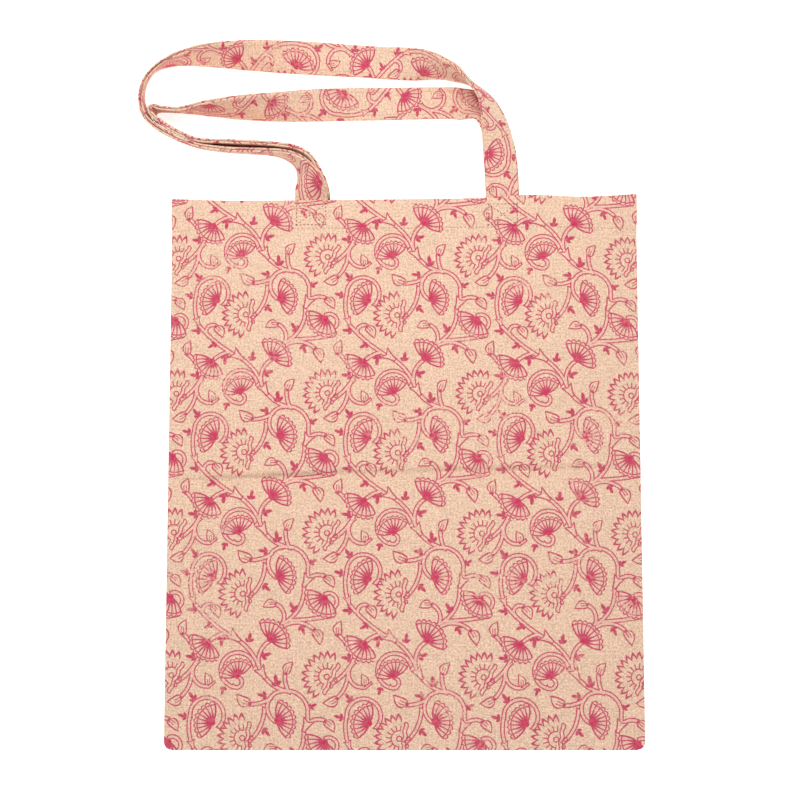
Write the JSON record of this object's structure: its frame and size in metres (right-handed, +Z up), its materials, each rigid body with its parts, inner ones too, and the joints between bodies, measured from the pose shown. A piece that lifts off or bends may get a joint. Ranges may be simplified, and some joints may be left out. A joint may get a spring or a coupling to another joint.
{
  "type": "printed cotton tote bag",
  "caption": "Flat unlined cotton tote bag lying on its back, printed all over with a trailing flower vine, its long cloth handles looped over to the left of the open mouth.",
  "frame": {"origin": "under the middle of the whole object, handles included, on the surface it lies on", "axes": "+Y from the bottom seam to the mouth and the handles, +X to the right as seen from above, +Z up out of the printed front"},
  "size_m": [0.4004, 0.5602, 0.0304],
  "materials": {
    "printed_cotton": "undyed slubby plain-weave cotton with a rose-red line print, matt"
  },
  "bodies": {
    "root": {"back_panel": "printed_cotton", "front_panel": "printed_cotton", "front_strap": "printed_cotton", "back_strap": "printed_cotton"}
  },
  "joints": []
}
